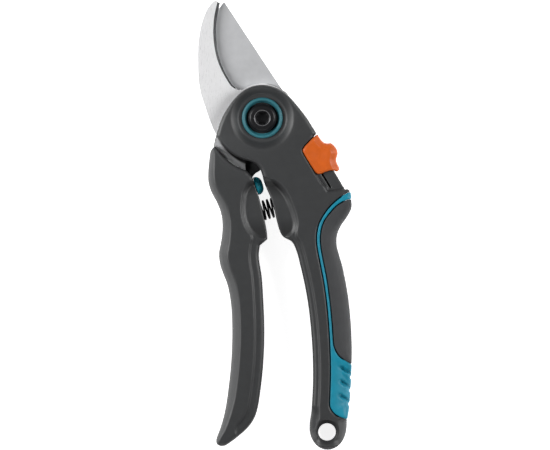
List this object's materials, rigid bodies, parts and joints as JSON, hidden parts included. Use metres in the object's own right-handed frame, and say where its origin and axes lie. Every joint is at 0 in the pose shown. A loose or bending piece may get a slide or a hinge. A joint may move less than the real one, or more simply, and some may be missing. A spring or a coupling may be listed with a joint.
{
  "type": "bypass pruner",
  "caption": "Hand pruner with a hooked counter blade, a curved cutting blade, moulded handles with a soft grip, a coil spring and a thumb-slide lock.",
  "frame": {"origin": "on the pivot axis, at the flat end of the pivot bolt, in the plane of the handles' backs that the pruner lies on", "axes": "+Y towards the blade tips, +X towards the lock slide, +Z out of the face that shows the bolt head; drawn shut, locked and lying on its back"},
  "size_m": [0.0741, 0.2159, 0.0203],
  "materials": {
    "body": "fine-textured moulded plastic",
    "soft_grip": "soft-touch moulding",
    "trim": "soft-touch moulding",
    "slide": "satin moulded plastic",
    "counter_steel": "fine ground steel",
    "coated_steel": "grey non-stick coating over ground steel",
    "black_steel": "black oxide",
    "zinc_steel": "zinc plate",
    "bronze": "sintered bronze"
  },
  "bodies": {
    "fixed_side": {"fixed_handle": "body", "soft_grip": "soft_grip", "soft_trim": "trim", "counter_blade": "counter_steel", "counter_blade_screw_1": "zinc_steel", "counter_blade_screw_2": "zinc_steel", "pivot_bolt": "black_steel", "pivot_ring": "trim", "pivot_bush": "bronze", "thrust_washer": "zinc_steel", "disc_spring": "zinc_steel", "pivot_nut": "black_steel", "lock_detent_spring": "zinc_steel"},
    "moving_side": {"moving_handle": "body", "cutting_blade": "coated_steel", "cutting_blade_screw_1": "zinc_steel", "cutting_blade_screw_2": "zinc_steel", "bumper": "trim", "return_spring": "black_steel"},
    "lock": {"lock_slide": "slide", "lock_bar": "zinc_steel"}
  },
  "joints": [
    {"name": "pivot", "type": "hinge", "parent": "fixed_side", "child": "moving_side", "pos_m": [0, 0, 0], "axis": [0, 0, -1], "range_deg": [0, 33], "deforming": ["return_spring"]},
    {"name": "lock_travel", "type": "slide", "parent": "fixed_side", "child": "lock", "axis": [0.515, -0.8572, 0], "range_m": [0, 0.0065]}
  ]
}
